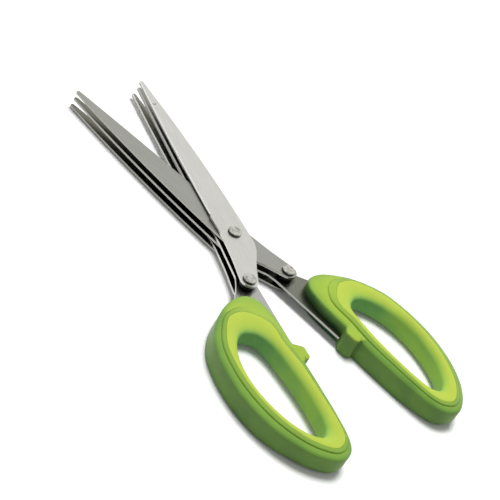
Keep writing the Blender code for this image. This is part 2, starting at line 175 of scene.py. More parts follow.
def make_plate(name, side, bottom, tang, lean, inner_faces, materials):
    """One blade: rings of points round the outline, from the lower face over the edge to
    the upper face, then both faces with their holes. Where the edge is ground, the rings
    lie on a slanting facet; elsewhere they round off the punched edge a little. The inner
    faces, lower and upper, are true where another blade covers them; there the steel is
    painted near black, as painted shade between the blades.
    A right blade is the left one mirrored and turned over, with its facet below."""
    outline, ground = plate_outline(tang, lean)
    along = np.roll(outline, -1, 0) - np.roll(outline, 1, 0)
    along /= np.hypot(*along.T)[:, None]
    inward = np.c_[-along[:, 1], along[:, 0]]
    t = plate_thickness
    x = np.array([1.7, 1, 0.5, 0.134, 0, 0]) * edge_soft
    z = np.array([0, 0, 0.134, 0.5, 1, 1.8]) * edge_soft
    plain = np.c_[np.r_[x, x[::-1]], np.r_[z, t - z[::-1]]]
    sharp = np.array([
        (0.26, 0), (0.10, 0), (0.04, 0.01), (0.01, 0.03), (0, 0.05), (0.0, 0.10),
        (0.0, 0.52), (0.02, 0.58), (0.06, 0.62), (0.94, 0.98), (1.0, 1.0), (1.15, 1.0),
    ]) * (facet, t)
    g = ground[:, None, None]
    section = plain * (1 - g) + sharp * g
    plan = outline[:, None] + inward[:, None] * section[..., :1]
    rings = np.concatenate([plan, section[..., 1:]], -1).transpose(1, 0, 2).reshape(-1, 3)
    n, k = len(outline), len(plain)
    holes = [circle(0, 0, pivot_hole), circle(tail_x, tail_y, tail_hole)]
    h = len(holes[0])
    hole_points = [np.c_[hole, np.full(h, z)] for z in (0, t) for hole in holes]
    points = np.r_[rings, np.concatenate(hole_points)]
    i = np.arange(h)
    j = (i + 1) % h
    low = n * k + np.r_[i, h + i]
    low_next = n * k + np.r_[j, h + j]
    caps = cap_faces([rings[:n, :2]] + holes)
    is_rim = caps < n
    bottom_cap = np.where(is_rim, caps, caps - n + n * k)[:, ::-1]
    top_cap = np.where(is_rim, caps + n * (k - 1), caps - n + n * k + 2 * h)
    quads = np.r_[ring_faces(n, k), np.c_[low_next, low, low + 2 * h, low_next + 2 * h]]
    faces = quads.tolist() + bottom_cap.tolist() + top_cap.tolist()
    slots = np.full(len(faces), satin, dtype=np.int32)
    # The upright punched wall takes painted shade, the slanting facet a painted highlight
    edge_rows = np.repeat([satin, punched, bevel, satin], (4, 3, 3, 1))
    slots[:n * (k - 1)] = np.where(ground > 0.5, edge_rows[:, None], satin).ravel()
    # Covered inner faces take the steel with painted shade: near black between the blades
    lower_face, upper_face = [painted_dark if inner else satin for inner in inner_faces]
    slots[len(quads):len(quads) + len(caps)] = lower_face
    slots[len(quads) + len(caps):] = upper_face
    if side == "right":
        points = points * (-1, 1, -1) + (0, 0, t)
    piece = add_piece(name, points, faces, side, bottom, materials)
    piece.data.polygons.foreach_set("material_index", slots)
    piece.data.set_sharp_from_angle(angle=math.radians(40))
    return piece


def ring_faces(around, rings):
    """Quads between one closed ring of points and the next, facing away from its middle
    when the rings run from bottom to top and each ring is anticlockwise."""
    i = np.tile(np.arange(around), rings - 1)
    j = (i + 1) % around
    k = np.repeat(np.arange(rings - 1), around) * around
    return np.c_[k + i, k + j, k + around + j, k + around + i]


def add_piece(name, points, faces, side, lift, materials):
    """A mesh of one arm, drawn shut: lifted to its height, turned open about the pivot and
    put in the scene. The place is in the mesh, so the object stays at the origin."""
    turn = arms[side][1]
    x, y, z = np.asarray(points, dtype=float).T
    placed = np.c_[x * math.cos(turn) - y * math.sin(turn),
                   x * math.sin(turn) + y * math.cos(turn), z + lift]
    mesh = bpy.data.meshes.new(name)
    mesh.from_pydata(placed.tolist(), [], faces)
    mesh.shade_smooth()
    for material in materials:
        mesh.materials.append(material)
    piece = bpy.data.objects.new(name, mesh)
    bpy.context.scene.collection.objects.link(piece)
    return piece


def set_values(piece, key, values):
    """A value for each point of a mesh, for its material to read."""
    piece.data.attributes.new(key, "FLOAT", "POINT").data.foreach_set(
        "value", values.ravel().astype(np.float32))


class Nodes:
    """A node tree, with short calls that add a node and link it."""

    def __init__(self, tree):
        self.tree = tree

    def node(self, kind, links=None, values=None, **settings):
        item = self.tree.nodes.new(kind)
        for key, value in settings.items():
            setattr(item, key, value)
        for key, value in (values or {}).items():
            item.inputs[key].default_value = value
        for key, source in (links or {}).items():
            self.tree.links.new(source, item.inputs[key])
        return item

    def math(self, operation, a, b=None):
        item = self.tree.nodes.new("ShaderNodeMath")
        item.operation = operation
        for socket, value in zip(item.inputs, (a, b)):
            if value is None:
                continue
            if isinstance(value, (int, float)):
                socket.default_value = value
            else:
                self.tree.links.new(value, socket)
        return item.outputs[0]

    def ramp(self, source, low, high, out_low, out_high):
        item = self.node("ShaderNodeMapRange", {"Value": source},
                         {"From Min": low, "From Max": high, "To Min": out_low, "To Max": out_high})
        item.interpolation_type = "SMOOTHSTEP"
        return item.outputs["Result"]

    def mix(self, factor, first, second):
        item = self.tree.nodes.new("ShaderNodeMix")
        item.data_type = "RGBA"
        for key, value in ((0, factor), (6, first), (7, second)):
            if isinstance(value, (int, float)):
                item.inputs[key].default_value = value
            elif isinstance(value, tuple):
                item.inputs[key].default_value = (*value, 1.0)
            else:
                self.tree.links.new(value, item.inputs[key])
        return item.outputs[2]

    def noise(self, place, scale, detail, roughness=0.5):
        """Noise over a place. A scale of three numbers stretches it."""
        if isinstance(scale, tuple):
            place = self.node("ShaderNodeMapping", {"Vector": place}, {"Scale": scale}).outputs[0]
            scale = 1.0
        return self.node("ShaderNodeTexNoise", {"Vector": place},
                         {"Scale": scale, "Detail": detail, "Roughness": roughness}).outputs[0]


class Material(Nodes):
    """A material's node tree, with calls for what the pieces' materials share."""

    def __init__(self, name):
        self.material = bpy.data.materials.new(name)
        self.material.use_nodes = True
        super().__init__(self.material.node_tree)
        self.shader = self.tree.nodes["Principled BSDF"]

    def place(self):
        return self.node("ShaderNodeTexCoord").outputs["Object"]

    def blade_place(self, side):
        """Places turned with this side's arm, so that y runs along its blades."""
        return self.node("ShaderNodeMapping", {"Vector": self.place()},
                         {"Rotation": (0, 0, -arms[side][1])}).outputs[0]

    def attribute(self, name):
        return self.node("ShaderNodeAttribute", attribute_name=name).outputs["Fac"]

    def bump(self, height, strength, distance):
        return self.node("ShaderNodeBump", {"Height": height},
                         {"Strength": strength, "Distance": distance}).outputs[0]

    def set(self, **values):
        for key, value in values.items():
            socket = self.shader.inputs[key.replace("_", " ")]
            if isinstance(value, (int, float)):
                socket.default_value = value
            else:
                self.tree.links.new(value, socket)


def brushed_steel(name, side, colour, roughness, tang=None, nick=None):
    """Satin stainless: a fine even grain with faint streaks along the blade. With a colour
    for the tang it is the steel of the covered faces, with painted shade, painted light and
    the tang's painted reflection laid on. A nick is the place of a dent, whose shade is painted."""
    n = Material(name)
    place = n.blade_place(side)
    fine = n.noise(place, (4200, 420, 900), 4.0, 0.65)
    cloud = n.noise(place, (300, 60, 100), 3.0)
    tone = n.math("ADD", n.ramp(fine, 0.3, 0.7, -0.05, 0.05),
                  n.ramp(cloud, 0.3, 0.7, -0.025, 0.025))
    shade = n.node("ShaderNodeHueSaturation", {"Value": n.math("ADD", tone, 1.0)},
                   {"Color": (*colour, 1.0)}).outputs[0]
    rough = n.math("ADD", n.ramp(fine, 0.3, 0.7, -0.04, 0.05), roughness)
    if tang:
        # Painted shade between the blades, painted light where they stick out, and the tang's
        # painted reflection
        shade = painted_gap_light(n, place, side, shade, tang)
    if nick:
        # Painted shade of a small dent
        shade = painted_dent_shade(n, place, shade, nick)
    n.set(Base_Color=shade, Metallic=1.0, Roughness=rough, Normal=n.bump(fine, 0.10, 0.03 * mm))
    return n.material


def painted_gap_light(n, place, side, shade, tang):
    """Painted shade and painted light on a covered face. Under the next blade it is painted
    almost black, as shade. What sticks out of the stack is painted lighter, as light gets in,
    with an olive tint of painted shade: a strip beside the cutting edge, which runs at
    x = -root + bend (y / reach)^power, and the tips. The tang past the tail rivet has its
    own colour, a painted reflection."""
    split = n.node("ShaderNodeSeparateXYZ", {"Vector": place})
    x, y = n.math("MULTIPLY", split.outputs["X"], arms[side][0]), split.outputs["Y"]
    power = n.math("POWER", n.math("MAXIMUM", n.math("DIVIDE", y, blade_reach), 0.0), edge_power)
    edge = n.math("MULTIPLY", n.math("SUBTRACT", power, edge_root / edge_bend), edge_bend)
    # Painted light on a strip beside the cutting edge and on the tips
    beside = n.ramp(n.math("SUBTRACT", x, edge), 0.8 * mm, 1.5 * mm, 0.5, 0.0)
    lit_edge_strip = n.math("MULTIPLY", beside, n.ramp(y, 4 * mm, 20 * mm, 0.0, 1.0))
    tips = n.ramp(y, 50 * mm, 88 * mm, 0.0, 0.6)
    # Painted shade: near black under the next blade, olive-tinted towards the lit parts
    shade_tint = n.mix(0.4, shade, (0.24, 0.22, 0.13))
    shade = n.mix(n.math("MAXIMUM", lit_edge_strip, tips), (0.02, 0.02, 0.014), shade_tint)
    # The tang past the tail rivet takes its own colour, a painted reflection
    flat = n.node("ShaderNodeCombineXYZ", {"X": x, "Y": y}).outputs[0]
    from_tail = n.node("ShaderNodeVectorMath", {0: flat}, {1: (tail_x, tail_y, 0)},
                       operation="DISTANCE").outputs["Value"]
    tang_share = n.math("MULTIPLY", n.ramp(from_tail, 2.6 * mm, 5.2 * mm, 0.0, 1.0),
                  n.ramp(y, -18.5 * mm, -23.5 * mm, 0.0, 1.0))
    return n.mix(tang_share, shade, tang)


def painted_dent_shade(n, place, shade, nick):
    """A small dent, drawn flat: painted shade, the lower half of a dark ring, 0.6 to 0.8 mm from
    the nick's place.
    """
    off = n.node("ShaderNodeVectorMath", {0: place}, {1: (*nick, 0)},
                 operation="SUBTRACT").outputs[0]
    flat = n.node("ShaderNodeVectorMath", {0: off}, {1: (1, 1, 0)},
                  operation="MULTIPLY").outputs[0]
    away = n.node("ShaderNodeVectorMath", {0: flat}, operation="LENGTH").outputs["Value"]
    up = n.node("ShaderNodeSeparateXYZ", {"Vector": off}).outputs["Y"]
    ring = n.math("MULTIPLY", n.ramp(away, 0.4 * mm, 0.6 * mm, 0.0, 1.0),
                  n.ramp(away, 0.8 * mm, 1.0 * mm, 1.0, 0.0))
    shaded_half = n.ramp(up, -0.3 * mm, 0.1 * mm, 1.0, 0.0)
    return n.mix(n.math("MULTIPLY", ring, shaded_half), shade, (0.015, 0.015, 0.012))


def edge_steel_painted_light(name, side, dim, metal):
    """The cutting edge: fine scratches run across it, square to the edge. The slanting
    facet is bright, a painted highlight, part non-metal so that it takes the lamp;
    the upright punched face under it is dim, darkened by dim as painted shade."""
    n = Material(name)
    lines = n.noise(n.blade_place(side), (300, 6000, 300), 3.0)
    tone = n.ramp(lines, 0.3, 0.7, 0.0, 1.0)
    shade = n.mix(tone, (0.88, 0.88, 0.84), (0.98, 0.98, 0.94))
    # dim darkens the colour as painted shade; a lower metal lets the facet catch the lamp as a
    # painted highlight
    n.set(Base_Color=n.mix(dim, shade, (0.10, 0.10, 0.09)), Metallic=metal,
          Roughness=n.ramp(tone, 0.0, 1.0, 0.26, 0.36), Normal=n.bump(lines, 0.2, 0.03 * mm))
    return n.material


# Painted reflection: one steel, the right arm's blades darker for the reflection they show
blade_painted_reflection = {"left": (0.645, 0.64, 0.60), "right": (0.365, 0.365, 0.333)}
nicks = {"left": (-1.1 * mm, 75.6 * mm)}
tip_lean = {
    ("left", "lower"): -0.9 * mm, ("left", "middle"): 0.4 * mm, ("left", "upper"): 0.0,
    ("right", "lower"): 0.3 * mm, ("right", "middle"): -0.2 * mm, ("right", "upper"): 0.0,
}
# Painted reflection on the tang: bright on the left arm, dark beside the right arm's handle
tang_painted_reflection = {"left": (0.46, 0.46, 0.44), "right": (0.21, 0.215, 0.175)}
for side in arms:
    steel = [
        brushed_steel(side + "_blade_satin", side, blade_painted_reflection[side], 0.34, nick=nicks.get(side)),
        brushed_steel(side + "_blade_mill", side, blade_painted_reflection[side], 0.30, tang=tang_painted_reflection[side]),
        edge_steel_painted_light(side + "_blade_facet_painted_highlight", side, 0.0, 0.4),
        edge_steel_painted_light(side + "_blade_wall_painted_shade", side, 0.85, 1.0),
    ]
    for number, place in enumerate(("lower", "middle", "upper")):
        inner = (place != "lower", place != "upper")
        piece = make_plate(
            side + "_" + place + "_steel", side, plate_lift[side] + number * plate_pitch,
            place == "middle", tip_lean[side, place],
            inner if side == "left" else inner[::-1], steel,
        )
        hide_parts(side + "_blade_" + place)
        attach(piece, "arm_" + side)

# ---------------------------------------------------------------------------------------
# The rivets and their washers
# Turned steel rivets, headed over thin washers: one through all six blades, one at the
# tail of each arm. The washers between the blades keep them apart.
# ---------------------------------------------------------------------------------------
tail_places = {"left": (tail_x, tail_y), "right": (-tail_x, tail_y)}
pivot_shank, pivot_head, pivot_length = 2.0 * mm, 2.75 * mm, 10.6 * mm
tail_shank, tail_head, tail_length = 1.5 * mm, 2.7 * mm, 9.4 * mm
foot_height, head_height = 0.4 * mm, 0.8 * mm
foot_drop = 0.6 * mm
foot_rim, head_rim = 0.12 * mm, 0.32 * mm
foot_chamfer, head_chamfer = 0.04 * mm, 0.05 * mm
crown_room, crown_wave = 0.06 * mm, 0.05 * mm
painted_light_fall = 0.35 * mm
washer_wall = 1.3 * mm
washer_chamfer = 0.1 * mm
washer_gap = 0.2 * mm
pivot_washer_top, tail_washer_top = 1.0 * mm, 2.2 * mm


def revolved(profile, around, x, y):
    """A profile of (radius, height), turned about a vertical axis: its points, a ring for
    each row, and the quads between the rings."""
    a = np.arange(around) / around * math.tau
    radius, height = profile[:, 0][:, None], profile[:, 1][:, None]
    points = np.stack([x + radius * np.cos(a), y + radius * np.sin(a), height + 0 * a], -1)
    return points.reshape(-1, 3), ring_faces(around, len(profile)).tolist()


def turned_part(name, profile, x, y, side, material):
    """A closed solid of revolution about a vertical axis: a profile of (radius, height)
    from the bottom to the top, turned through a full circle and closed at both ends. Its
    tone, painted light, is 1 on the top and falls to 0 on the sides, painted in shade."""
    around = 96
    points, faces = revolved(profile, around, x, y)
    last = len(points)
    top = last - around
    points = np.r_[points, [(x, y, profile[0, 1])], [(x, y, profile[-1, 1])]]
    faces += [(last, (i + 1) % around, i) for i in range(around)]
    faces += [(last + 1, top + i, top + (i + 1) % around) for i in range(around)]
    piece = add_piece(name, points, faces, side, 0.0, [material])
    piece.data.set_sharp_from_angle(angle=math.radians(35))
    # Painted light: 1 on the top, falling to painted shade down the sides
    set_values(piece, "tone", np.clip((points[:, 2] - profile[-1, 1]) / painted_light_fall + 1.3, 0, 1))
    return piece


def washer_part(name, hole_radius, bottom, top, x, y, side):
    """A washer: its section, a rectangle with small chamfers, turned about the rivet."""
    rim, c = hole_radius + washer_wall, washer_chamfer
    section = np.array([
        (hole_radius, bottom), (rim - c, bottom), (rim, bottom + c), (rim, top - c),
        (rim - c, top), (hole_radius, top),
    ])
    around = 72
    points, faces = revolved(section, around, x, y)
    top_row = len(points) - around
    faces += [(top_row + i, top_row + (i + 1) % around, (i + 1) % around, i)
              for i in range(around)]
    piece = add_piece(name, points, faces, side, 0.0, [washer_shade_steel])
    piece.data.set_sharp_from_angle(angle=math.radians(35))
    return piece


def quarter(radius, z, r, steps, rising):
    """Points of a rounded rim of radius r under or over the height z, out at radius."""
    a = np.linspace(0, math.pi / 2, steps)
    if rising:
        return np.c_[radius - r + r * np.cos(a), z - r + r * np.sin(a)]
    return np.c_[radius - r + r * np.sin(a), z + r - r * np.cos(a)]


def rivet_profile(shank, head, bottom, top):
    """A rivet: a thin foot with a small rim, the shank, and a head with a wide soft rim
    and a top that rises to a low ring and is a little dished inside it."""
    foot, under = bottom + foot_height, top - head_height
    crown = np.linspace(head - head_rim, 0.2 * mm, 12)[1:]
    wave = crown_wave * np.sin(np.linspace(0, 3.6, 11))
    return np.r_[
        [(0.3 * head, bottom), (0.8 * head, bottom)],
        quarter(head, bottom, foot_rim, 5, False),
        [(head, foot - foot_chamfer), (head - foot_chamfer, foot), (shank, foot)],
        [(shank, under), (head - head_chamfer, under), (head, under + head_chamfer)],
        quarter(head, top - crown_room, head_rim, 9, True),
        np.c_[crown, top - crown_room + wave],
    ]


def rivet_steel(name, colour, roughness):
    """Bright steel, headed by hammering: a few soft dents and a faint grime. The tone,
    painted light, comes with the mesh: 1 on the lit top and 0 on the sides, painted in shade."""
    n = Material(name)
    place = n.place()
    dents = n.noise(place, 420.0, 1.0, 0.4)
    grime = n.noise(place, 900.0, 3.0, 0.6)
    grimy, painted_side_shade = [tuple(c * share for c in colour) for share in (0.55, 0.22)]
    shade = n.mix(n.ramp(grime, 0.36, 0.58, 0.0, 1.0), grimy, colour)
    # Painted shade on the sides, painted light on the top, by the tone
    shade = n.mix(n.attribute("tone"), painted_side_shade, shade)
    n.set(Base_Color=shade, Metallic=1.0, Normal=n.bump(dents, 0.25, 0.12 * mm),
          Roughness=n.ramp(grime, 0.3, 0.7, roughness, roughness + 0.06))
    return n.material


head_steel = rivet_steel("rivet_head_steel", (0.60, 0.59, 0.53), 0.28)
# Washers near black, painted shade for the dark between the blades; with no tone they take the
# side's painted shade all over
washer_shade_steel = rivet_steel("washer_painted_shade_steel", (0.16, 0.16, 0.15), 0.4)
pivot = turned_part(
    "pivot_rivet_turned", rivet_profile(pivot_shank, pivot_head, 0.0, pivot_length),
    0.0, 0.0, "left", head_steel,
)
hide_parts("pivot_rivet")
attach(pivot, "arm_left")
for side, (x, y) in tail_places.items():
    bottom = plate_lift[side] - foot_drop
    tail = turned_part(
        side + "_tail_rivet_turned",
        rivet_profile(tail_shank, tail_head, bottom, bottom + tail_length), x, y, side, head_steel,
    )
    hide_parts(side + "_tail_rivet")
    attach(tail, "arm_" + side)

for number, place in enumerate(("lower", "upper")):
    low = plate_lift["left"] + plate_thickness + number * plate_pitch
    washer = washer_part("pivot_washer_" + place, pivot_hole, low + washer_gap,
                         low + pivot_washer_top, 0.0, 0.0, "left")
    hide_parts("pivot_spacer_" + place)
    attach(washer, "arm_left")
    for side, (x, y) in tail_places.items():
        low = plate_lift[side] + plate_thickness + number * plate_pitch
        washer = washer_part(side + "_tail_washer_" + place, tail_hole, low + washer_gap,
                             low + tail_washer_top, x, y, side)
        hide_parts(side + "_tail_spacer_" + place)
        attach(washer, "arm_" + side)

# ---------------------------------------------------------------------------------------
# The handle shells
# Hard satin plastic, moulded round the tang of the middle blade. Each is a ring with a
# domed top that a groove runs round, a wide front end and a stop nub on its inner side.
# ---------------------------------------------------------------------------------------
handle_height = 11.0 * mm
handle_front = 31.9 * mm
handle_length = 76.9 * mm
handle_inset = 2.85 * mm
handle_width = 35.4 * mm
shoulder_height = 8.5 * mm
dome_power = 1.35
groove_inset = 1.75 * mm
groove_width = 0.45 * mm
groove_depth = 0.25 * mm
groove_across = np.array([0.15, 0.3, 0.5, 0.7, 0.85])
groove_down = np.array([0.3, 0.8, 1, 0.75, 0.2])
worn_depth, worn_run = 0.10 * mm, 0.22 * mm
crest_run = 1.3 * mm
front_land = 5.6 * mm
front_crest_run = 1.7 * mm
foot_round = 0.8 * mm
rear_start, rear_run = 86 * mm, 18 * mm
rear_widening, rear_heightening = 2.2 * mm, 3.4 * mm
core_cover = 2.3 * mm
grip_skin = 1.5 * mm
grip_play = 0.25 * mm
seam = 0.1 * mm
hole_round_height, hole_round_share = 3.2 * mm, 0.85
nub_edge = 0.8 * mm
nub_plan = np.array([
    (-3.2, -64.8), (-1.35, -64.8), (-0.15, -63.6), (-0.15, -59.4), (-1.14, -58.4),
    (-2.75, -57.2), (-3.72, -56.8),
]) * mm
nub_start, nub_end = 16.0, 17.2
nub_span = (16.08, 0.12, 17.06, 0.4)    # stations: from, run, to, run
tang_span = (16.7, 0.6, 21.0, 1.6)
# Painted shade on the shells' walls beside the tang and along the foot, and on the grips' walls low
# at the front; painted light on what looks up, by these shares
tang_shade_below, tang_shade_fade = 9.5 * mm, 5.5 * mm
foot_shade_below, foot_shade_fade = 1.1 * mm, 1.0 * mm
shoulder_painted_light, nub_painted_light = 0.15, 0.8
crest_painted_light, front_crest_painted_light = 0.36, 0.40
grip_painted_light_from = 8.2 * mm
grip_front, grip_front_fade = -70 * mm, 20 * mm
grip_shade_below, grip_shade_fade = 10.5 * mm, 3 * mm
ring_table = np.array([
    (0.277, 0.000, 0.439, 0.232, 1.00), (0.454, 0.020, 0.516, 0.225, 0.58),
    (0.672, 0.090, 0.604, 0.244, 0.10), (0.845, 0.181, 0.686, 0.289, 0.10),
    (0.961, 0.290, 0.751, 0.357, 0.10), (1.000, 0.424, 0.789, 0.450, 0.10),
    (0.988, 0.550, 0.783, 0.544, 0.10), (0.927, 0.676, 0.733, 0.641, 0.10),
    (0.814, 0.797, 0.641, 0.741, 0.10), (0.649, 0.901, 0.524, 0.814, 0.10),
    (0.460, 0.970, 0.401, 0.853, 0.10), (0.265, 1.000, 0.308, 0.859, 0.10),
    (0.107, 0.967, 0.243, 0.832, 0.10), (0.030, 0.898, 0.211, 0.793, 0.05),
    (0.003, 0.769, 0.194, 0.716, 0.00), (0.000, 0.603, 0.196, 0.599, 0.00),
    (0.006, 0.458, 0.226, 0.469, 0.06), (0.027, 0.312, 0.270, 0.345, 0.25),
    (0.042, 0.166, 0.322, 0.277, 0.44), (0.088, 0.073, 0.378, 0.246, 0.84),
    (0.162, 0.021, 0.411, 0.236, 1.07),
])


def ring_stations():
    """The stations round a left handle, drawn shut: points of the outer wall, of the finger
    hole's wall and the share of the front's land, on closed Catmull-Rom curves through the
    table's rows, v = p1 + t/2 (p2 - p0 + t (2p0 - 5p1 + 4p2 - p3 + t (3p1 - 3p2 + p3 - p0))).
    A station u counts the table's rows. They stand closer together at the nub."""
    u = np.r_[np.linspace(0, nub_start, 352, False), np.linspace(nub_start, nub_end, 192, False),
              np.linspace(nub_end, len(ring_table), 84, False)]
    i = np.floor(u).astype(int)
    t = (u - i)[:, None]
    p0, p1, p2, p3 = [ring_table[(i + k) % len(ring_table)] for k in (-1, 0, 1, 2)]
    bend = 2 * p0 - 5 * p1 + 4 * p2 - p3 + t * (3 * (p1 - p2) + p3 - p0)
    v = p1 + t / 2 * (p2 - p0 + t * bend)
    corner = (-handle_inset, -handle_front)
    outer = corner - v[:, :2] * (handle_width, handle_length)
    hole = corner - v[:, 2:4] * (handle_width, handle_length)
    return u, outer, hole, v[:, 4:]


def along_span(rise, rise_run, fall, fall_run):
    """A share for every station, 1 between two of them: a smooth rise from the first, over
    the given run, and a smooth fall to the second."""
    return (smooth((u - rise) / rise_run) * smooth((fall - u) / fall_run))[:, None]


def with_nub(u, outer):
    """The outer wall with the stop nub on its inner side: heel, stop face and ramp, each a
    straight line in plan, rounded into one another by a bell curve 0.3 mm wide."""
    run = np.r_[0, np.cumsum(np.hypot(*np.diff(nub_plan, axis=0).T))]
    near = np.flatnonzero((u >= nub_start) & (u < nub_end))
    low, high = np.interp((nub_plan[0, 1], nub_plan[-1, 1]), outer[near, 1], u[near])
    share = (u[near] - low) / (high - low)
    nub = np.c_[[np.interp(share * run[-1], run, c) for c in nub_plan.T]].T
    inside = ((share >= 0) & (share <= 1))[:, None]
    path = np.where(inside, nub, outer[near])
    reach = 12
    bell = np.exp(-0.5 * (np.arange(-reach, reach + 1) / 2.7) ** 2)
    padded = np.pad(path, ((reach, reach), (0, 0)), mode="reflect", reflect_type="odd")
    result = outer.copy()
    result[near] = np.c_[[np.convolve(c, bell / bell.sum(), "valid") for c in padded.T]].T
    return result


def tube_faces(stations, around, side):
    """Quads of a closed section of the given number of points carried round a closed path,
    facing out of the left piece. A right piece is mirrored, so its quads turn round."""
    i = np.repeat(np.arange(stations), around)
    j = np.tile(np.arange(around), stations)
    i2, j2 = (i + 1) % stations, (j + 1) % around
    quads = np.c_[i * around + j, i2 * around + j, i2 * around + j2, i * around + j2]
    return (quads if side == "left" else quads[:, ::-1]).tolist()


def rows(*columns):
    """Points of the section at every station, from columns that are single values, a value
    for each point or a value for each station."""
    return np.stack(np.broadcast_arrays(np.zeros((len(u), 1)), *columns)[1:], -1)


def ring_piece(name, side, points, tone, painted_shade_and_blotch, materials):
    """A ring from its grid of points, mirrored for the right arm. Two attributes go with it
    for the material: its tone, painted light, 1 on the faces that look up and 0 on the
    walls, and its share of painted shade, 1 where shade is painted darkest on the walls."""
    count, around = points.shape[:2]
    flat = points.reshape(-1, 3) * (arms[side][0], 1, 1)
    piece = add_piece(name, flat, tube_faces(count, around, side), side, 0.0, materials)
    set_values(piece, "tone", tone)
    set_values(piece, "painted_shade_and_blotch", painted_shade_and_blotch)
    piece.data.set_sharp_from_angle(angle=math.radians(40))
    return piece


u, outer, hole, land = ring_stations()
width = np.hypot(*(hole - outer).T)[:, None]
across = (hole - outer) / width
lip = groove_inset - groove_width / 2
dome_run = groove_inset + groove_width / 2 + crest_run
lip_line = lip + land * front_land
crest_line = lip_line + groove_width + crest_run + land * front_crest_run
core = handle_height - core_cover


def dome(x):
    """Height of the shell's top at x in from its wall, where it has no flat land: from the
    shoulder up to the crest by a superellipse, rise (1 - (1 - x / run)^p)^(1/p)."""
    share = 1 - (1 - x / dome_run).clip(0) ** dome_power
    return shoulder_height + (handle_height - shoulder_height) * share ** (1 / dome_power)


def worn(x):
    """How far an edge is worn down at x from it."""
    return worn_depth * (1 - np.clip(x / worn_run, 0, 1)) ** 2


def shell_rings():
    """The shell at every station, its tone of painted light and its share of painted shade.
    Round the section go the outer wall, the domed top, the groove, the rise to the crest,
    the seam, the core under the grip and the flat foot, with a longer round at the rear.
    The land and the longer rise at the front are let in by stretching the dome. At the nub
    the wall follows the nub and a small round takes the dome's place. Each row of the
    section has its move in from the wall, its share of the way to the groove's lip, its
    step past the lip, its share of the way from there to the core's end, and a height.
    Shade is painted low on the wall beside the tang, and along the foot. Light is painted
    on what looks up: most on the front's land and the nub, less on the dome's shoulder and
    the rise to the crest."""
    wall = with_nub(u, outer)
    along = np.roll(wall, -1, 0) - np.roll(wall, 1, 0)
    normal = np.c_[-along[:, 1], along[:, 0]] / np.hypot(*along.T)[:, None]
    nub = along_span(*nub_span)
    inward = across * (1 - nub) + normal * nub
    inward /= np.hypot(*inward.T)[:, None]
    t = np.linspace(0, 1, 20)
    a = np.minimum(2 * t, 1) * math.pi / 2
    x = lip * t ** 1.5
    share = (x + (lip_line - lip) * smooth((x - 0.4 * mm) / (lip - 0.4 * mm))) / lip_line
    share = share * (1 - nub) + np.clip(2 * t - 1, 0, 1) * nub
    level = dome(np.array(lip))
    top = dome(x) * (1 - nub) + (level - nub_edge * (1 - np.sin(a))) * nub - worn(lip - x)
    groove = level - worn_depth - groove_depth * (1 - 0.6 * land) * groove_down
    rise = np.linspace(0, 1, 14) * crest_run
    beyond = groove_width + rise + land * front_crest_run * smooth(rise / crest_run)
    crest = crest_line - lip_line
    foot = np.linspace(math.pi / 2, 0, 9)
    rear = smooth((-wall[:, 1:] - rear_start) / rear_run)
    foot_wide, foot_high = foot_round + rear_widening * rear, foot_round + rear_heightening * rear
    section = np.concatenate([
        rows(0, 0, 0, 0, foot_high + (shoulder_height - foot_high) * np.linspace(0, 1, 6)[1:-1]),
        rows(nub * nub_edge * (1 - np.cos(a)) * (1 - share), share, 0, 0, top),
        rows(0, 1, groove_width * groove_across, 0, groove),
        rows(0, 1, beyond, 0, dome(lip + groove_width + rise) - worn(rise)),
        rows(0, 1, crest + np.array([0.02, 0.03]) * mm, 0,
             handle_height - np.array([0.03, 0.4]) * mm),
        rows(0, 1, crest, 0, core),
        rows(0, 1, 0, 1, np.array([core, core_cover])),
        rows(0, 1, crest, 0, np.array([core_cover, 0.0])),
        rows(foot_wide * (1 - np.cos(foot)), 0, 0, 0, foot_high * (1 - np.sin(foot))),
    ], 1)
    move, to_lip, step, to_core, z = np.moveaxis(section, -1, 0)
    lip_points = outer + across * lip_line
    core_end = outer + across * (width - grip_skin)
    plan = (wall[:, None] + inward[:, None] * move[..., None]
            + (lip_points - wall)[:, None] * to_lip[..., None] + across[:, None] * step[..., None]
            + (core_end - lip_points)[:, None] * to_core[..., None])
    # Painted light: faces that look up are lit most on the front's land and the nub, less on the
    # shoulder and the rise to the crest
    by_land = shoulder_painted_light + (1 - shoulder_painted_light) * smooth(land / 0.3)
    before_lip = np.maximum(by_land, nub_painted_light * nub)
    top_light_share = np.where(step > 0, crest_painted_light + front_crest_painted_light * land, before_lip)
    tone = np.clip((z - shoulder_height) / (level - shoulder_height), 0, 1) ** 1.3 * top_light_share
    # Painted shade low on the wall beside the tang and along the foot
    tang_shade = along_span(*tang_span) * smooth((tang_shade_below - z) / tang_shade_fade)
    foot_shade = smooth((foot_shade_below - z) / foot_shade_fade)
    return np.concatenate([plan, z[..., None]], -1), tone, np.maximum(tang_shade, foot_shade)


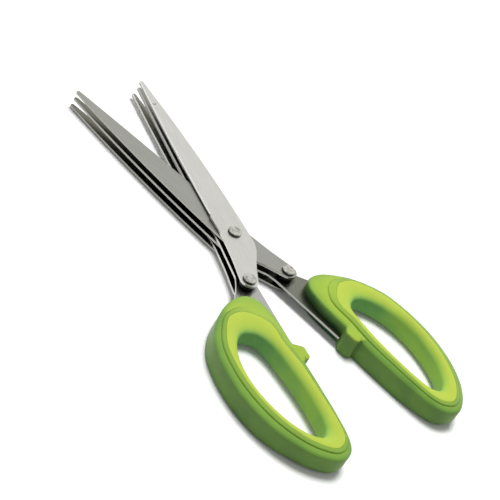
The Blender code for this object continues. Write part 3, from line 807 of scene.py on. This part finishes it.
def grip_rings():
    """The grip at every station, its tone of painted light and its share of painted shade, which is
    1 low at the front.
    Round the section go its channel over the core, the seam, a flat top level with the
    shell's crest, and a long round down to the finger hole's wall; then the same below.
    Each row has its shares of the seam's place, of the width and of the long round's width,
    a step, and a height."""
    b = np.linspace(math.pi / 2, 0, 19)
    roof = core + grip_play
    top = handle_height
    half = np.concatenate([
        rows(0, 1, 0, grip_play - grip_skin, np.array([top / 2 + 0.5 * mm, roof])),
        rows(1, 0, 0, 0, np.array([roof, top - 0.4 * mm, top - 0.07 * mm])),
        rows(1, 0, 0, np.array([0.02, 0.06]) * mm, top - np.array([0.02, 0]) * mm),
        rows(0, 1, -(1 - np.cos(b)), 0, top - hole_round_height * (1 - np.sin(b))),
        rows(0, 1, 0, 0, top / 2 + np.array([1.2 * mm, 0.3 * mm])),
    ], 1)
    section = np.concatenate([half, half[:, ::-1] * (1, 1, 1, 1, -1) + (0, 0, 0, 0, top)], 1)
    at_seam, at_hole, rounded, step, z = np.moveaxis(section, -1, 0)
    start = crest_line + seam
    reach = (start * at_seam + width * at_hole
             + hole_round_share * (width - start) * rounded + step)
    plan = outer[:, None] + across[:, None] * reach[..., None]
    # Painted light on the grip's top; painted shade low on its walls at the front
    tone = np.clip((z - grip_painted_light_from) / (handle_height - grip_painted_light_from), 0, 1)
    front = smooth((plan[..., 1] - grip_front) / grip_front_fade)
    painted_shade_and_blotch = front * smooth((grip_shade_below - z) / grip_shade_fade)
    return np.concatenate([plan, z[..., None]], -1), tone, painted_shade_and_blotch


def moulded_plastic(name, top, side, painted_shade_and_blotch, patches, roughness, grain):
    """Moulded plastic: a fine even grain, faint flow marks in the tone, and the top's colour
    on what looks up, as painted light. The walls have the side's colour, as painted shade,
    and a darker colour where shade is painted, with soft random patches of it elsewhere."""
    n = Material(name)
    place = n.place()
    fine = n.noise(place, grain, 2.0, 0.55)
    flow = n.noise(place, 60.0, 4.0, 0.6)
    patch = n.noise(place, 95.0, 1.0, 0.4)
    # The painted shade's share, with random patches of the same darker colour
    share = n.math("ADD", n.attribute("painted_shade_and_blotch"), n.ramp(patch, 0.35, 0.65, 0.0, patches))
    # Lit top colour and shaded side colour of one plastic: painted light and shade
    colour = n.mix(n.ramp(n.attribute("tone"), 0.0, 1.0, 0.0, 1.0), n.mix(share, side, painted_shade_and_blotch), top)
    value = n.math("ADD", n.ramp(flow, 0.3, 0.7, 0.96, 1.03), n.ramp(fine, 0.3, 0.7, -0.02, 0.02))
    shade = n.node("ShaderNodeHueSaturation", {"Color": colour, "Value": value}).outputs[0]
    rough = n.math("ADD", n.ramp(flow, 0.3, 0.7, -0.05, 0.05), roughness)
    n.set(Base_Color=shade, Roughness=rough, Normal=n.bump(fine, 0.25, 0.03 * mm),
          Specular_IOR_Level=0.28)
    return n.material


# top and side are one green, lit and shaded as painted light; the darker one is painted shade and
# random patches
green_plastic = moulded_plastic(
    "green_satin_plastic", top=(0.355, 0.50, 0.055), side=(0.197, 0.388, 0.066),
    painted_shade_and_blotch=(0.045, 0.130, 0.055), patches=0.22, roughness=0.42, grain=2600.0)
for side in arms:
    shell = ring_piece(side + "_shell_moulded", side, *shell_rings(), [green_plastic])
    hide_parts(side + "_handle_shell")
    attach(shell, "arm_" + side)

# ---------------------------------------------------------------------------------------
# The grip rings
# Softer plastic, moulded over the shell's core round the finger hole. Its flat top is level
# with the shell's crest, where a seam parts the two, and it rounds down into the hole.
# ---------------------------------------------------------------------------------------
# top and side are one lime, lit and shaded as painted light; the darker one is painted shade and
# random patches
lime_plastic = moulded_plastic(
    "lime_soft_plastic", top=(0.462, 0.580, 0.078), side=(0.44, 0.73, 0.12),
    painted_shade_and_blotch=(0.23, 0.53, 0.16), patches=0.40, roughness=0.55, grain=3400.0)
for side in arms:
    grip = ring_piece(side + "_grip_moulded", side, *grip_rings(), [lime_plastic])
    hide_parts(side + "_grip_ring")
    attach(grip, "arm_" + side)

# ---------------------------------------------------------------------------------------
# The studio
# A plain white table, a soft lamp nearly overhead, a surrounding that the steel mirrors,
# brightest high up and away from the camera, and two faint fills from the sides.
# ---------------------------------------------------------------------------------------
table_reach, table_height = 6.0, -0.02 * mm
corners = ((-1, -1), (1, -1), (1, 1), (-1, 1))
table_mesh = bpy.data.meshes.new("table_top")
table_mesh.from_pydata(
    [(table_reach * x, table_reach * y, table_height) for x, y in corners], [], [(0, 1, 2, 3)])
table_top = bpy.data.objects.new("table_top", table_mesh)
bpy.context.scene.collection.objects.link(table_top)

# White where it is looked at, grey where it only throws light back on the scissors
table = Material("white_table")
rays = table.node("ShaderNodeLightPath").outputs
seen = table.math("MAXIMUM", rays["Is Camera Ray"],
                  table.math("MAXIMUM", rays["Is Glossy Ray"], rays["Is Transmission Ray"]))
paper = table.node("ShaderNodeBsdfDiffuse",
                   {"Color": table.mix(seen, (0.5, 0.5, 0.5), (1.0, 1.0, 1.0))})
glow = table.node("ShaderNodeEmission", {"Strength": table.math("MULTIPLY", seen, 0.05)},
                  {"Color": (1.0, 1.0, 1.0, 1.0)})
both = table.node("ShaderNodeAddShader", {0: paper.outputs[0], 1: glow.outputs[0]})
table.tree.links.new(both.outputs[0], table.tree.nodes["Material Output"].inputs["Surface"])
table.tree.nodes.remove(table.shader)
table_mesh.materials.append(table.material)

world = bpy.data.worlds.new("studio_surround")
bpy.context.scene.world = world
world.use_nodes = True
sky = Nodes(world.node_tree)
sky_place = sky.node("ShaderNodeTexCoord").outputs["Generated"]


def glow_towards(place, low, high, dim, bright):
    """The world's strength: a smooth rise from dim to bright towards a place in the sky."""
    toward = sky.node("ShaderNodeVectorMath", {0: sky_place}, {1: Vector(place).normalized()},
                      operation="DOT_PRODUCT").outputs["Value"]
    return sky.ramp(toward, low, high, dim, bright)


# What the eye and the steel see of the surrounding, and the weaker light that it gives
mirrored = glow_towards((0.6, 0.35, 0.72), -0.2, 0.9, 0.22, 1.0)
fills = sky.math("ADD", glow_towards((-0.75, 0.6, 0.35), 0.0, 1.0, 0.05, 0.40),
                 glow_towards((0.6, -0.7, 0.40), 0.5, 1.0, 0.0, 0.42))
rays = sky.node("ShaderNodeLightPath").outputs
seen = sky.math("MAXIMUM", rays["Is Camera Ray"], rays["Is Glossy Ray"])
strength = sky.node("ShaderNodeMix", {0: seen, 2: fills, 3: mirrored}).outputs[0]
background = world.node_tree.nodes["Background"].inputs
background["Color"].default_value = (1.0, 1.0, 1.0, 1.0)
world.node_tree.links.new(strength, background["Strength"])

lamp_data = bpy.data.lights.new("key_lamp", "AREA")
lamp_data.size = 0.36
lamp_data.energy = 9.7
key_lamp = bpy.data.objects.new("key_lamp", lamp_data)
bpy.context.scene.collection.objects.link(key_lamp)
key_lamp.location = (0.12, 0.11, 1.0)
key_lamp.rotation_euler = (-key_lamp.location).to_track_quat("-Z", "Y").to_euler()
key_lamp.visible_glossy = False

# The camera, as solved from the photograph
azimuth, elevation, roll = math.radians(-58.888), math.radians(36.182), math.radians(30.299)
aim, distance = Vector((0.011434, -0.003107, 0.0)), 0.56747
back = Vector((math.sin(azimuth) * math.cos(elevation), -math.cos(azimuth) * math.cos(elevation),
               math.sin(elevation)))
level_right = Vector((math.cos(azimuth), math.sin(azimuth), 0.0))
level_up = back.cross(level_right)
right = level_right * math.cos(roll) + level_up * math.sin(roll)
up = level_up * math.cos(roll) - level_right * math.sin(roll)
camera_data = bpy.data.cameras.new("camera")
camera_data.lens = 103.28
camera_data.sensor_width = 36.0
camera = bpy.data.objects.new("camera", camera_data)
bpy.context.scene.collection.objects.link(camera)
camera.matrix_world = (Matrix.Translation(aim + back * distance)
                       @ Matrix((right, up, back)).transposed().to_4x4())
bpy.context.scene.camera = camera
bpy.context.scene.view_settings.view_transform = "Standard"
